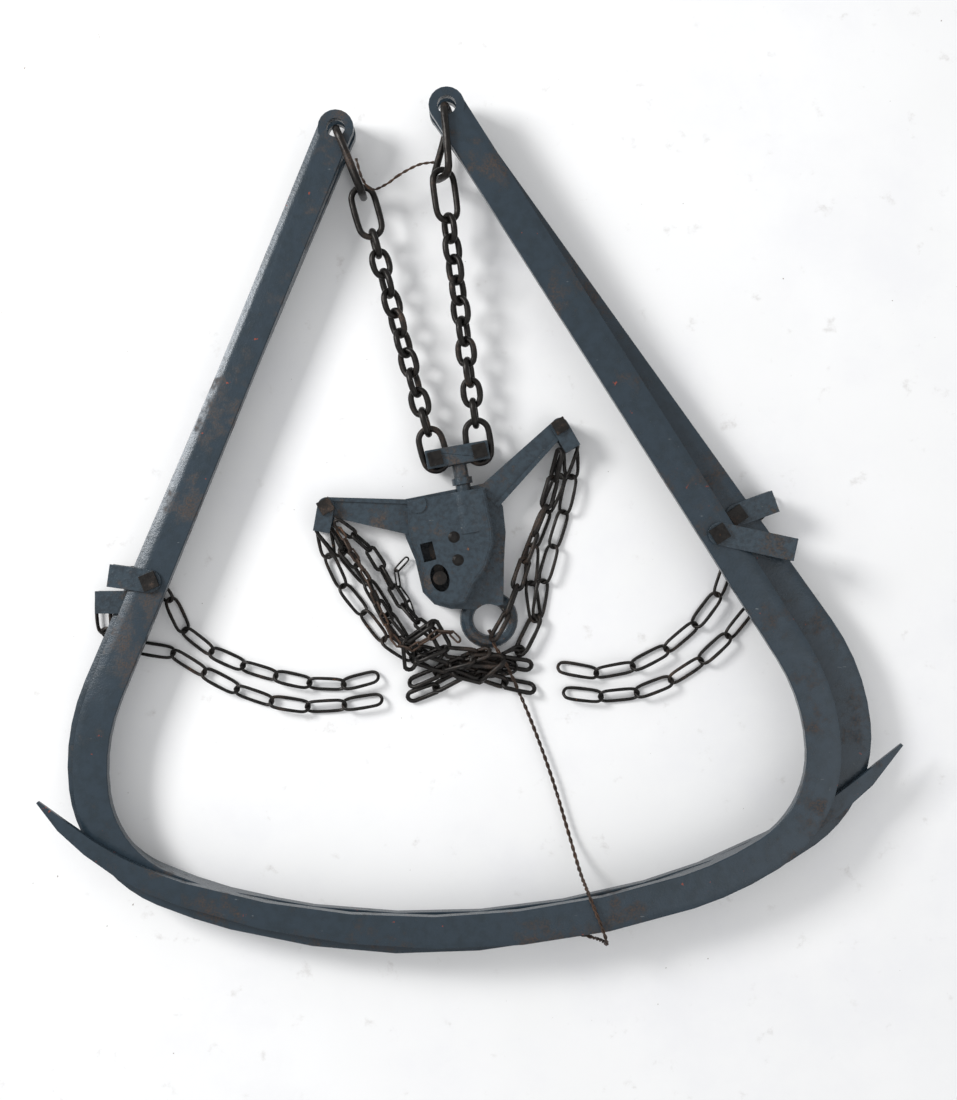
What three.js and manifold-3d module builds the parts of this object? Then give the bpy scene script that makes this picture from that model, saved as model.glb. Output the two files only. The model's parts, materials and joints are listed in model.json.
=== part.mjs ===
// An old four-tine grapple fork, lying closed and flat. Millimetres, X right, Y up the fork, Z up.
import * as THREE from "three";
import Module from "manifold-3d";

const wasm = await Module();
wasm.setup();
const { Manifold, CrossSection } = wasm;

// Driving sizes
const FIT_GAP = 0.3;
const TINE_THICK = 12;
const TINE_WIDE = 37;
const TINE_BEVEL = 8;
const TINE_BEVEL_DROP = 2.5;
const TINE_EDGE = 1;
const TINE_FLOOR = 15;
const TINE_AIR = 1;
const EYE_HOLE_R = 10;
const EYE_R = 19;
const TIP_WIDE = 3;
const TIP_THICK = 4;
const BOLT_R = 6;
const BOLT_HEAD = 17;
const BOLT_HEAD_THICK = 4.3;
const WIRE = 7;
const LINK_LONG = 36.3;
const LINK_WIDE = 25;
const SECOND_LONG = 62;
const SECOND_WIDE = 32.5;
const END_LONG = 54;
const END_WIDE = 33;
const BIG_WIRE = 9.5;
const BIG_LONG = 84;
const BIG_AIR = 1.5;
const BIG_CORNER = 14;
const REGULAR_LINKS = 10;
const HALF_TURNS = 5;
const SECOND_TILT = 2;
const STRAND_WIRE = 5;
const STRAND_LONG = 48;
const STRAND_WIDE = 20;
const STRAND_ROLL = 35;
const STRAND_SIDES = 4;
const STRAND_BITE = 0.9;
const STRAND_Z = 7.5;
const TRIP_WIRE = 2.4;
const TRIP_LONG = 21;
const TRIP_WIDE = 7.5;
const HEAD_TURN = 10;
const HEAD_AXIS_Z = 24;
const HEAD_BACK_Z = 1;
const HEAD_FRONT_Z = 45;
const HEAD_WALL = 5;
const POST_U = -2.5;
const POST_R = 8;
const CROSSBAR_V = 90.7;
const BOLT_SPREAD = 24;
const STRAP_LONG = 68;
const STRAP_WIDE = 20;
const STRAP_THICK = 5;
const RING_V = -89.5;
const RING_R = 24.25;
const RING_WIRE_R = 7.25;
const ROUND = 20;
const WIRE_SIDES = 6;
const RING_SIDES = 10;
const RING_STEPS = 28;
const PAST = 1;
const NUT_STUB = 2;
const EYE_SLACK = 1;
const DEGREE = Math.PI / 180;

const GREY_PAINT = [0x4a5258, 0.55, 0.45];
const BARE_IRON = [0x3a302a, 0.75, 0.6];
const RUSTY_WIRE = [0x5a4332, 0.6, 0.7];

const group = new THREE.Group();
group.name = "grapple_fork";

// One named mesh made from a solid
function addNode(name, solid, look) {
  const mesh = solid.getMesh();
  const step = mesh.numProp;
  const points = new Float32Array(mesh.numVert * 3);
  for (let i = 0; i < mesh.numVert; i++) {
    points.set(mesh.vertProperties.subarray(i * step, i * step + 3), i * 3);
  }
  const geometry = new THREE.BufferGeometry();
  geometry.setAttribute("position", new THREE.BufferAttribute(points, 3));
  geometry.setIndex(new THREE.BufferAttribute(new Uint32Array(mesh.triVerts), 1));
  const [color, metalness, roughness] = look;
  const material = new THREE.MeshStandardMaterial({ color, metalness, roughness });
  material.flatShading = true;
  const made = new THREE.Mesh(geometry, material);
  made.name = name;
  group.add(made);
}

// A solid through a row of rings of points, closed into a loop or capped at both ends
function skin(rings, closed) {
  const sides = rings[0].length;
  const vertProperties = new Float32Array(rings.flat(2));
  const faces = [];
  const last = closed ? rings.length : rings.length - 1;
  for (let i = 0; i < last; i++) {
    const here = i * sides;
    const next = ((i + 1) % rings.length) * sides;
    for (let j = 0; j < sides; j++) {
      const k = (j + 1) % sides;
      faces.push(here + j, here + k, next + k, here + j, next + k, next + j);
    }
  }
  if (!closed) {
    const end = (rings.length - 1) * sides;
    for (let j = 1; j < sides - 1; j++) {
      faces.push(0, j + 1, j, end, end + j, end + j + 1);
    }
  }
  const build = (list) =>
    new Manifold(new wasm.Mesh({ numProp: 3, vertProperties, triVerts: new Uint32Array(list) }));
  const made = build(faces);
  if (made.volume() > 0) {
    return made;
  }
  for (let i = 0; i < faces.length; i += 3) {
    [faces[i + 1], faces[i + 2]] = [faces[i + 2], faces[i + 1]];
  }
  return build(faces);
}

// The centre line of a link with round corners, as places and the outward direction in its plane
function linkLine(long, wide, corner, steps) {
  const line = [];
  const x = long / 2 - corner;
  const y = wide / 2 - corner;
  const corners = [[x, y, 0], [-x, y, 1], [-x, -y, 2], [x, -y, 3]];
  for (const [cx, cy, quarter] of corners) {
    for (let i = 0; i <= steps; i++) {
      const turn = (quarter + i / steps) * Math.PI / 2;
      const out = [Math.cos(turn), Math.sin(turn)];
      line.push({ at: [cx + corner * out[0], cy + corner * out[1]], out });
    }
  }
  const same = (a, b) => Math.hypot(a.at[0] - b.at[0], a.at[1] - b.at[1]) < FIT_GAP;
  return line.filter((p, i) => !same(p, line[(i + 1) % line.length]));
}

// A wire link lying in XY with its length along X, twisted about X from one end to the other
function makeLink(long, wide, wire, corner, steps, twist = 0, sides = WIRE_SIDES) {
  const rings = [];
  for (const { at, out } of linkLine(long - wire, wide - wire, corner, steps)) {
    const turn = twist * DEGREE * (at[0] / long + 1 / 2);
    const ring = [];
    for (let j = 0; j < sides; j++) {
      const a = (j / sides) * 2 * Math.PI;
      const flat = wire / 2 * Math.cos(a);
      const y = at[1] + flat * out[1];
      const z = wire / 2 * Math.sin(a);
      ring.push([at[0] + flat * out[0], y * Math.cos(turn) - z * Math.sin(turn),
        y * Math.sin(turn) + z * Math.cos(turn)]);
    }
    rings.push(ring);
  }
  return skin(rings, true);
}

// Puts a link at a place, its length along a direction and rolled about it from lying flat
function placeLink(solid, centre, along, roll) {
  const x = along.clone().normalize();
  const side = new THREE.Vector3(0, 0, 1).cross(x).normalize();
  const up = x.clone().cross(side);
  const basis = new THREE.Matrix4().makeBasis(x, side, up).setPosition(centre);
  return solid.rotate([roll, 0, 0]).transform(basis.elements);
}

// A round bar along Z from one height to another
const bar = (radius, low, high, x, y) =>
  Manifold.cylinder(high - low, radius, radius, ROUND).translate([x, y, low]);

// A box from one height to another, turned about its own middle
const block = (wide, deep, low, high, x, y, turn = 0) =>
  Manifold.cube([wide, deep, high - low], true).rotate([0, 0, turn])
    .translate([x, y, (low + high) / 2]);

// A flat plate of any outline
const plate = (outline, low, high) =>
  new CrossSection([outline]).extrude(high - low).translate([0, 0, low]);

// A strand of small links that just bite into each other along a list of places
function strand(places, wire, long, wide, bite) {
  const curve = new THREE.CatmullRomCurve3(places.map((p) => new THREE.Vector3(...p)));
  const pitch = long - 2 * wire + bite;
  const count = Math.max(2, Math.round(curve.getLength() / pitch));
  const spots = curve.getSpacedPoints(count);
  const parts = [];
  for (let i = 0; i < count; i++) {
    const along = spots[i + 1].clone().sub(spots[i]);
    const centre = spots[i].clone().add(spots[i + 1]).multiplyScalar(1 / 2);
    const fitted = along.length() + 2 * wire - bite;
    const link = makeLink(fitted, wide, wire, (wide - wire) / 2, 2, 0, STRAND_SIDES);
    const roll = i === 0 ? 0 : STRAND_ROLL * (i % 2 ? 1 : -1);
    parts.push(placeLink(link, centre, along, roll));
  }
  return Manifold.union(parts);
}

// From the head's own frame to the fork's
const inHead = (solid) => solid.rotate([0, 0, HEAD_TURN]);
function headPoint(u, v, z) {
  return new THREE.Vector3(u, v, z).applyAxisAngle(new THREE.Vector3(0, 0, 1), HEAD_TURN * DEGREE);
}

// Levels of the four tines
const LEVELS = {};
["left_back", "right_back", "left_front", "right_front"].forEach((name, i) => {
  LEVELS[name] = TINE_FLOOR + i * (TINE_THICK + TINE_AIR);
});
const STACK = 3 * TINE_THICK + 2 * TINE_AIR;

const SIDES = {
  left: { sign: -1, lean: 15.6, bigLean: 22.2, low: LEVELS.left_back, twist: 0, bigRoll: 90 },
  right: { sign: 1, lean: 7.7, bigLean: -5, low: LEVELS.right_back, twist: 35, bigRoll: 80 },
};

// One centre chain, from its crossbar bolt up to the eyes
function centreChain(side) {
  const { sign, lean, bigLean, low, twist, bigRoll } = SIDES[side];
  const bolt = headPoint(POST_U + sign * BOLT_SPREAD, CROSSBAR_V, HEAD_AXIS_Z);
  const middle = low + STACK / 2;
  const hold = WIRE + FIT_GAP;
  const flatRun = END_LONG / 2 + SECOND_LONG / 2 + REGULAR_LINKS * (LINK_LONG - WIRE)
    + REGULAR_LINKS * -hold - hold - WIRE;
  const run = (END_LONG - END_WIDE) / 2 + flatRun + (SECOND_LONG - WIRE) / 2;
  const rise = Math.asin((middle - HEAD_AXIS_Z) / run);
  const turn = lean * DEGREE;
  const along = new THREE.Vector3(-Math.sin(turn) * Math.cos(rise),
    Math.cos(turn) * Math.cos(rise), Math.sin(rise));
  const spot = bolt.clone().addScaledVector(along, (END_LONG - END_WIDE) / 2);
  const stepOn = (a, b) => spot.addScaledVector(along, (a + b) / 2 - WIRE - hold);
  const end = makeLink(END_LONG, END_WIDE, WIRE, (END_WIDE - WIRE) / 2, 3);
  addNode(`chain_${side}_end_link`, placeLink(end, spot, along, 0), BARE_IRON);
  const link = makeLink(LINK_LONG, LINK_WIDE, WIRE, (LINK_WIDE - WIRE) / 2, 2);
  const secondRoll = bigRoll + twist - 90 + SECOND_TILT;
  const rollStep = (HALF_TURNS * 180 + secondRoll) / (REGULAR_LINKS + 1);
  let before = END_LONG;
  for (let i = 0; i < REGULAR_LINKS; i++) {
    stepOn(before, LINK_LONG);
    addNode(`chain_${side}_link_${i + 1}`, placeLink(link, spot, along, rollStep * (i + 1)), BARE_IRON);
    before = LINK_LONG;
  }
  stepOn(LINK_LONG, SECOND_LONG);
  const second = makeLink(SECOND_LONG, SECOND_WIDE, WIRE, (SECOND_WIDE - WIRE) / 2, 3);
  addNode(`chain_${side}_second_link`, placeLink(second, spot, along, secondRoll), BARE_IRON);
  const bigTurn = bigLean * DEGREE;
  const bigAlong = new THREE.Vector3(-Math.sin(bigTurn), Math.cos(bigTurn), 0);
  const meet = spot.clone().addScaledVector(along, (SECOND_LONG - WIRE) / 2);
  const reach = (BIG_LONG - BIG_WIRE) / 2 - (WIRE + BIG_WIRE) / 2 - 4 * FIT_GAP;
  const bigSpot = meet.clone().addScaledVector(bigAlong, reach);
  bigSpot.z = middle;
  const bigWide = STACK + 2 * (BIG_WIRE + BIG_AIR);
  const big = makeLink(BIG_LONG, bigWide, BIG_WIRE, BIG_CORNER, 3, -twist);
  addNode(`chain_${side}_big_link`, placeLink(big, bigSpot, bigAlong, bigRoll + twist), BARE_IRON);
  const eye = bigSpot.clone().addScaledVector(bigAlong, (BIG_LONG - BIG_WIRE) / 2 - EYE_SLACK);
  return { bolt, eye, middle };
}

// Arcs along a tine: radius and turn in degrees, after a straight shank
const PROFILES = {
  left: { shank: 648, arcs: [[211, 30], [124.5, 60], [601, 7.6], [781, 44.5], [503, 18]] },
  right: { shank: 680, arcs: [[210, 30], [124, 60], [374, 14.3], [873, 35.7], [359, 29]] },
};
const TINES = {
  left_back: { side: "left", lean: 23.2, short: 42 },
  right_back: { side: "right", lean: 35.6, short: 0 },
  left_front: { side: "left", lean: 22.2, short: 0 },
  right_front: { side: "right", lean: 32.4, short: 0 },
};
const ARC_STEP = 7;
const THIN_FROM_SHARE = 0.625;
const TAPER_SHARES = [[0, 1], [0.45, 1], [0.72, 0.8], [0.88, 0.6], [0.96, 0.4], [1, 0.08]];

// How wide the arm still is at a share of its length past the knee
function taperShare(at) {
  for (let i = 1; i < TAPER_SHARES.length; i++) {
    const [a, from] = TAPER_SHARES[i - 1];
    const [b, to] = TAPER_SHARES[i];
    if (at <= b) {
      return from + (to - from) * (at - a) / (b - a);
    }
  }
  return TAPER_SHARES.at(-1)[1];
}

// The centre line of a tine from its eye: place, heading and distance
function tineLine(eye, tine) {
  const { sign } = SIDES[tine.side];
  const { shank, arcs } = PROFILES[tine.side];
  let heading = (-90 + sign * tine.lean) * DEGREE;
  const at = [eye.x, eye.y];
  let run = 0;
  const line = [];
  const go = (length, turn) => {
    heading += turn / 2;
    at[0] += length * Math.cos(heading);
    at[1] += length * Math.sin(heading);
    heading += turn / 2;
    run += length;
    line.push({ at: [...at], heading, run });
  };
  line.push({ at: [...at], heading, run });
  go(shank, 0);
  for (const [radius, turn] of arcs) {
    const steps = Math.ceil(turn / ARC_STEP);
    const piece = (turn / steps) * DEGREE;
    for (let i = 0; i < steps; i++) {
      go(2 * radius * Math.sin(piece / 2), -sign * piece);
    }
  }
  return line;
}

// One tine: a flat bar bent edgewise, with an eye, a bolt hole and a bevelled outer edge
function makeTine(name, eye, knee) {
  const tine = TINES[name];
  const { sign } = SIDES[tine.side];
  const low = LEVELS[name];
  const line = tineLine(eye, tine).filter((p, i, all) => p.run <= all.at(-1).run - tine.short);
  const shank = PROFILES[tine.side].shank;
  const arm = line.at(-1).run - shank;
  const rings = line.map(({ at, heading, run }) => {
    const share = run <= shank ? 1 : taperShare((run - shank) / arm);
    const half = Math.max(TINE_WIDE * share, TIP_WIDE) / 2;
    const thick = Math.max(TINE_THICK * Math.min(1, share / THIN_FROM_SHARE), TIP_THICK);
    const bevel = TINE_BEVEL * share;
    const drop = TINE_BEVEL_DROP * share;
    const out = [-Math.sin(heading) * sign, Math.cos(heading) * sign];
    const section = [[-half, 0], [half, 0], [half, thick - drop], [half - bevel, thick],
      [TINE_EDGE * share - half, thick], [-half, thick - TINE_EDGE * share]];
    return section.map(([a, z]) => [at[0] + out[0] * a, at[1] + out[1] * a, low + z]);
  });
  const solid = skin(rings, false).add(bar(EYE_R, low, low + TINE_THICK, eye.x, eye.y));
  const reach = TINE_THICK;
  return solid
    .subtract(bar(EYE_HOLE_R, low - reach, low + TINE_THICK + reach, eye.x, eye.y))
    .subtract(bar(BOLT_R + FIT_GAP, low - reach, low + TINE_THICK + reach, knee.x, knee.y));
}

// Where each knee clevis is bolted, as a run down the shank from the eye, and which way it lies
const CLEVISES = {
  left_front: { run: 519, turn: 172, long: 44 },
  left_back: { run: 548, turn: 180, long: 44 },
  right_front: { run: 534, turn: -12, long: 82 },
  right_back: { run: 530, turn: 20, long: 44 },
};
const LEG_THICK = 4;
const LEG_WIDE = 24;
const PIN_R = 3;

function kneePlace(name, eye) {
  const { side, lean } = TINES[name];
  const turn = lean * DEGREE * SIDES[side].sign;
  const { run } = CLEVISES[name];
  return new THREE.Vector3(eye.x + run * Math.sin(turn), eye.y - run * Math.cos(turn), 0);
}

// A clevis of two straps with a pin that reaches down to hold the chain
function makeClevis(name, knee) {
  const { turn, long } = CLEVISES[name];
  const low = LEVELS[name] - FIT_GAP - LEG_THICK;
  const high = LEVELS[name] + TINE_THICK + FIT_GAP + LEG_THICK;
  const leg = (base) => bar(LEG_WIDE / 2, base, base + LEG_THICK, 0, 0)
    .add(block(long, LEG_WIDE, base, base + LEG_THICK, long / 2, 0));
  const pin = bar(PIN_R, STRAND_Z - STRAND_WIRE - PAST, high, long - PIN_R, 0);
  return leg(low).add(leg(high - LEG_THICK)).add(pin)
    .subtract(bar(BOLT_R + FIT_GAP, low - LEG_THICK, high + LEG_THICK, 0, 0))
    .rotate([0, 0, turn]).translate([knee.x, knee.y, 0]);
}

// A bolt with a square head on top and a nut below
function makeBolt(low, high, place, turn, head = BOLT_HEAD) {
  return bar(BOLT_R, low - FIT_GAP, high + FIT_GAP, place.x, place.y)
    .add(block(head, head, high + FIT_GAP, high + FIT_GAP + BOLT_HEAD_THICK, place.x, place.y, turn))
    .add(block(head, head, low - FIT_GAP - BOLT_HEAD_THICK, low - FIT_GAP, place.x, place.y, turn))
    .add(bar(BOLT_R, low - FIT_GAP - BOLT_HEAD_THICK - NUT_STUB, low, place.x, place.y));
}

// The head, in its own frame
const BACK_OUTLINE = [[-68, 54], [-73, 14], [-67, -12], [-65, -48], [-55, -63], [-38, -71],
  [-12, -76], [18, -76], [27, -30], [34, 0], [36, 28], [24, 56]];
const COVER_OUTLINE = [[-64.2, 51], [-68.3, 16], [-62.8, -9.8], [-60.7, -46.9], [-52.6, -59.1],
  [-37.2, -66.9], [-21, -66.8], [-8, -48.6], [7.5, -34], [19.3, -10.2], [21.2, 6.8], [19.9, 51]];
const POCKET_OUTLINE = [[-59, 40], [-62, 15], [-57, -10], [-55, -45], [-48, -56], [-36, -60],
  [-25, -60], [-14, -44], [2, -29], [12, -8], [14, 8], [14, 40]];
const WINGS = {
  left: { from: [-64, 34], deepAt: 38, end: [-151, 61], deepEnd: 20 },
  right: { from: [22, 40], deepAt: 30, end: [111, 102], deepEnd: 18 },
};
const WING_LOW = 9;
const WING_HIGH = 25;
const RIB_HIGH = 4;
const RIB_ROOT = 5;
const RIB_END = 4;
const RIB_TOP = WING_HIGH + RIB_HIGH;
const WINDOW = { u: -51.1, v: -6.2, wide: 13.5, deep: 20, turn: 4 };
const OVAL = { u: -43.6, v: -35.8, wide: 20, deep: 30, turn: 5 };
const RIVETS = [[-21.4, 4.5], [-21.4, -20.3]];
const RIVET_R = 3.5;
const LATCH_PIN_R = 7.5;

// A wing that narrows from the head to its rounded end
function makeWing({ from, deepAt, end, deepEnd }) {
  const a = Math.atan2(end[1] - from[1], end[0] - from[0]);
  const out = [-Math.sin(a), Math.cos(a)];
  const at = (p, half) => [p[0] + out[0] * half, p[1] + out[1] * half];
  const outline = [at(from, -deepAt / 2), at(end, -deepEnd / 2), at(end, deepEnd / 2),
    at(from, deepAt / 2)];
  const rib = [at(from, -deepAt / 2), at(end, -deepEnd / 2), at(end, RIB_END - deepEnd / 2),
    at(from, RIB_ROOT - deepAt / 2)];
  return plate(outline, WING_LOW, WING_HIGH).add(plate(rib, WING_LOW, RIB_TOP))
    .add(bar(deepEnd / 2, WING_LOW, WING_HIGH, end[0], end[1]));
}

function makeBackCasting() {
  const split = HEAD_AXIS_Z - FIT_GAP / 2;
  const ring = new THREE.TorusGeometry(RING_R, RING_WIRE_R, RING_SIDES, RING_STEPS);
  let solid = plate(BACK_OUTLINE, HEAD_BACK_Z, split);
  for (const wing of Object.values(WINGS)) {
    solid = solid.add(makeWing(wing).trimByPlane([0, 0, -1], -split - RIB_HIGH));
  }
  solid = solid.add(fromGeometry(ring).translate([0, RING_V, HEAD_BACK_Z + RING_WIRE_R]));
  solid = solid.subtract(bar(RING_R - RING_WIRE_R, 0, HEAD_FRONT_Z, 0, RING_V));
  const room = new CrossSection([COVER_OUTLINE]).offset(FIT_GAP, "Miter");
  solid = solid.subtract(room.extrude(HEAD_FRONT_Z).translate([0, 0, split]));
  solid = solid.subtract(plate(POCKET_OUTLINE, HEAD_BACK_Z + HEAD_WALL, split + PAST));
  solid = solid.subtract(postRoom());
  for (const side of Object.keys(WINGS)) {
    const [u, v] = WINGS[side].end;
    solid = solid.subtract(bar(BOLT_R + FIT_GAP, 0, HEAD_FRONT_Z, u, v));
  }
  for (const [u, v] of RIVETS) {
    solid = solid.add(bar(RIVET_R * 2, HEAD_BACK_Z + HEAD_WALL - PAST, split, u, v));
    solid = solid.subtract(bar(RIVET_R + FIT_GAP, HEAD_BACK_Z + HEAD_WALL, split + PAST, u, v));
  }
  return solid;
}

// A closed three.js geometry as a solid
function fromGeometry(geometry) {
  const bare = new THREE.BufferGeometry();
  bare.setAttribute("position", geometry.getAttribute("position"));
  bare.setIndex(geometry.getIndex());
  const seen = new Map();
  const spots = [];
  const points = bare.getAttribute("position");
  const names = [];
  for (let i = 0; i < points.count; i++) {
    const p = [points.getX(i), points.getY(i), points.getZ(i)];
    const key = p.map((c) => Math.round(c * 1000)).join(" ");
    if (!seen.has(key)) {
      seen.set(key, spots.length);
      spots.push(p);
    }
    names.push(seen.get(key));
  }
  const triVerts = Uint32Array.from(bare.getIndex().array, (i) => names[i]);
  const vertProperties = new Float32Array(spots.flat());
  return new Manifold(new wasm.Mesh({ numProp: 3, vertProperties, triVerts }));
}

const POST_FLANGE_R = 12;
const POST_FLANGE_THICK = 6;
const POST_FOOT_V = 26;
const POST_COLLAR_R = 11;
const POST_COLLAR_THICK = 7;
const NECK_V = 58;
const NECK_LIP = 1;
const FLANGE_ROOM = 1;
const TONGUE_ROOM = 2;
const TONGUE_SHARE = 1.5;

// A round bar along the head's axis
const alongHead = (radius, from, to) =>
  Manifold.cylinder(to - from, radius, radius, ROUND).rotate([-90, 0, 0])
    .translate([POST_U, from, HEAD_AXIS_Z]);

function postRoom() {
  return alongHead(POST_R + FIT_GAP, POST_FOOT_V - POST_FLANGE_THICK, NECK_V * 2)
    .add(alongHead(POST_FLANGE_R + FLANGE_ROOM, POST_FOOT_V - POST_FLANGE_THICK - FLANGE_ROOM,
      POST_FOOT_V + FLANGE_ROOM));
}

function makePost() {
  const tongue = block(2 * (BOLT_SPREAD - END_WIDE / 2 - TONGUE_ROOM), STRAP_WIDE * TONGUE_SHARE,
    HEAD_AXIS_Z - POST_R + FIT_GAP * 2, HEAD_AXIS_Z + POST_R - FIT_GAP * 2, POST_U,
    CROSSBAR_V - STRAP_WIDE / 4);
  return alongHead(POST_R, POST_FOOT_V, CROSSBAR_V - STRAP_WIDE / 2 - FIT_GAP)
    .add(alongHead(POST_FLANGE_R, POST_FOOT_V - POST_FLANGE_THICK, POST_FOOT_V))
    .add(alongHead(POST_COLLAR_R, NECK_V + NECK_LIP, NECK_V + NECK_LIP + POST_COLLAR_THICK))
    .add(tongue);
}

const BOSS = { r: 10, u: -54, v: 46, rise: 2 };
const COVER_ROUND = 4;
const COVER_STEPS = 3;
const COVER_WALL = 7;
const COVER_DOME = 3;
const DOME_FROM_V = 6;

function makeCover() {
  const split = HEAD_AXIS_Z + FIT_GAP / 2;
  const body = new CrossSection([COVER_OUTLINE]);
  const top = HEAD_FRONT_Z - COVER_ROUND;
  let solid = body.extrude(top - split).translate([0, 0, split]);
  for (let i = 0; i < COVER_STEPS; i++) {
    const a = ((i + 1) / COVER_STEPS) * Math.PI / 2;
    const inset = COVER_ROUND * (1 - Math.cos(a)) + FIT_GAP;
    const low = top + COVER_ROUND * Math.sin((i / COVER_STEPS) * Math.PI / 2);
    const high = top + COVER_ROUND * Math.sin(a);
    solid = solid.add(body.offset(-inset, "Round").extrude(high - low + PAST)
      .translate([0, 0, low - PAST]));
  }
  const dome = alongHead(HEAD_FRONT_Z - HEAD_AXIS_Z + COVER_DOME, DOME_FROM_V,
    NECK_V - NECK_LIP)
    .trimByPlane([0, 0, 1], split);
  const raised = dome.add(bar(BOSS.r, split, HEAD_FRONT_Z + BOSS.rise, BOSS.u, BOSS.v));
  solid = solid.add(raised.intersect(plate(COVER_OUTLINE, split, HEAD_FRONT_Z * 2)));
  solid = solid.subtract(plate(POCKET_OUTLINE, split - PAST, HEAD_FRONT_Z - COVER_WALL));
  solid = solid.subtract(postRoom());
  const { u, v, wide, deep, turn } = WINDOW;
  solid = solid.subtract(block(wide, deep, HEAD_AXIS_Z, HEAD_FRONT_Z * 2, u, v, turn));
  const oval = Manifold.cylinder(HEAD_FRONT_Z, 1, 1, ROUND).scale([OVAL.wide / 2, OVAL.deep / 2, 1]);
  solid = solid.subtract(oval.rotate([0, 0, OVAL.turn]).translate([OVAL.u, OVAL.v, HEAD_AXIS_Z]));
  for (const [ru, rv] of RIVETS) {
    solid = solid.subtract(bar(RIVET_R + FIT_GAP, HEAD_AXIS_Z, HEAD_FRONT_Z * 2, ru, rv));
  }
  return solid;
}

const LATCH_ARM = { wide: 10, long: 38 };
const LATCH_TOE = { wide: 8, long: 12, u: -2.5, v: 29 };
const LATCH_ROOM = 1;
const LATCH_HIGH = 10;
const LATCH_PIN_DROP = 2;

// The latch plate with the pin that it turns on
function makeLatch() {
  const low = HEAD_BACK_Z + HEAD_WALL + LATCH_ROOM;
  const high = HEAD_AXIS_Z + LATCH_HIGH;
  const arm = block(LATCH_ARM.wide, LATCH_ARM.long, low, high, OVAL.u, OVAL.v + LATCH_ARM.long / 2);
  const toe = block(LATCH_TOE.wide, LATCH_TOE.long, low, high, OVAL.u + LATCH_TOE.u,
    OVAL.v + LATCH_TOE.v);
  return bar(LATCH_PIN_R, low, HEAD_FRONT_Z - LATCH_PIN_DROP, OVAL.u, OVAL.v).add(arm).add(toe);
}

const WING_CLEVIS_TURN = { left: 250, right: -70 };
const WING_CLEVIS_LONG = 28;
const WING_STRAP_R = 9;

// A wing clevis: two straps over the wing end and a heel beyond it
function makeWingClevis(side) {
  const [u, v] = WINGS[side].end;
  const low = WING_LOW - FIT_GAP - LEG_THICK;
  const high = RIB_TOP + FIT_GAP + LEG_THICK;
  const long = WING_CLEVIS_LONG;
  const leg = (base) => bar(WING_STRAP_R, base, base + LEG_THICK, 0, 0)
    .add(block(long, 2 * WING_STRAP_R, base, base + LEG_THICK, long / 2, 0));
  return leg(low).add(leg(high - LEG_THICK))
    .add(bar(PIN_R, STRAND_Z - STRAND_WIRE - PAST, high, long - PIN_R, 0))
    .subtract(bar(BOLT_R + FIT_GAP, 0, HEAD_FRONT_Z, 0, 0))
    .rotate([0, 0, WING_CLEVIS_TURN[side]]).translate([u, v, 0]);
}

const chains = { left: centreChain("left"), right: centreChain("right") };
for (const name of Object.keys(TINES)) {
  const { side, lean } = TINES[name];
  const { eye } = chains[side];
  const knee = kneePlace(name, eye);
  addNode(`tine_${name}`, makeTine(name, eye, knee), GREY_PAINT);
  addNode(`knee_clevis_${name}`, makeClevis(name, knee), GREY_PAINT);
  const low = LEVELS[name] - FIT_GAP - LEG_THICK;
  const high = LEVELS[name] + TINE_THICK + FIT_GAP + LEG_THICK;
  addNode(`knee_bolt_${name}`, makeBolt(low, high, knee, lean), BARE_IRON);
}

addNode("back_casting", inHead(makeBackCasting()), GREY_PAINT);
addNode("front_cover", inHead(makeCover()), GREY_PAINT);
addNode("swivel_post", inHead(makePost()), GREY_PAINT);
addNode("trip_latch", inHead(makeLatch()), BARE_IRON);

const STRAP_INNER = POST_R - FIT_GAP;
const SMALL_HEAD = 15;
const CROSSBAR_BOLT_TURN = 4;
const WING_BOLT_TURN = 20;
const WING_COLLAR = 1.5;
const RIVET_HEAD_THICK = 2;
const RIVET_HEAD_SHARE = 1.8;
for (const [name, low] of [["strap_back", HEAD_AXIS_Z - STRAP_INNER - STRAP_THICK],
  ["strap_front", HEAD_AXIS_Z + STRAP_INNER]]) {
  let strap = block(STRAP_LONG, STRAP_WIDE, low, low + STRAP_THICK, POST_U, CROSSBAR_V);
  for (const { sign } of Object.values(SIDES)) {
    strap = strap.subtract(bar(BOLT_R + FIT_GAP, 0, HEAD_FRONT_Z, POST_U + sign * BOLT_SPREAD,
      CROSSBAR_V));
  }
  addNode(`crossbar_${name}`, inHead(strap), GREY_PAINT);
}
for (const side of Object.keys(SIDES)) {
  const low = HEAD_AXIS_Z - STRAP_INNER - STRAP_THICK;
  const high = HEAD_AXIS_Z + STRAP_INNER + STRAP_THICK;
  const place = { x: POST_U + SIDES[side].sign * BOLT_SPREAD, y: CROSSBAR_V };
  addNode(`crossbar_bolt_${side}`, inHead(makeBolt(low, high, place, CROSSBAR_BOLT_TURN,
    SMALL_HEAD)), BARE_IRON);
  const [u, v] = WINGS[side].end;
  addNode(`wing_clevis_${side}`, inHead(makeWingClevis(side)), GREY_PAINT);
  const wingLow = WING_LOW - FIT_GAP - LEG_THICK;
  const wingHigh = RIB_TOP + FIT_GAP + LEG_THICK;
  const headLow = wingHigh + FIT_GAP;
  const bolt = bar(BOLT_R, HEAD_BACK_Z, headLow, u, v)
    .add(block(SMALL_HEAD, SMALL_HEAD, headLow, headLow + BOLT_HEAD_THICK, u, v, WING_BOLT_TURN))
    .add(bar(BOLT_R + WING_COLLAR, HEAD_BACK_Z, wingLow - FIT_GAP, u, v));
  addNode(`wing_bolt_${side}`, inHead(bolt), BARE_IRON);
}
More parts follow.
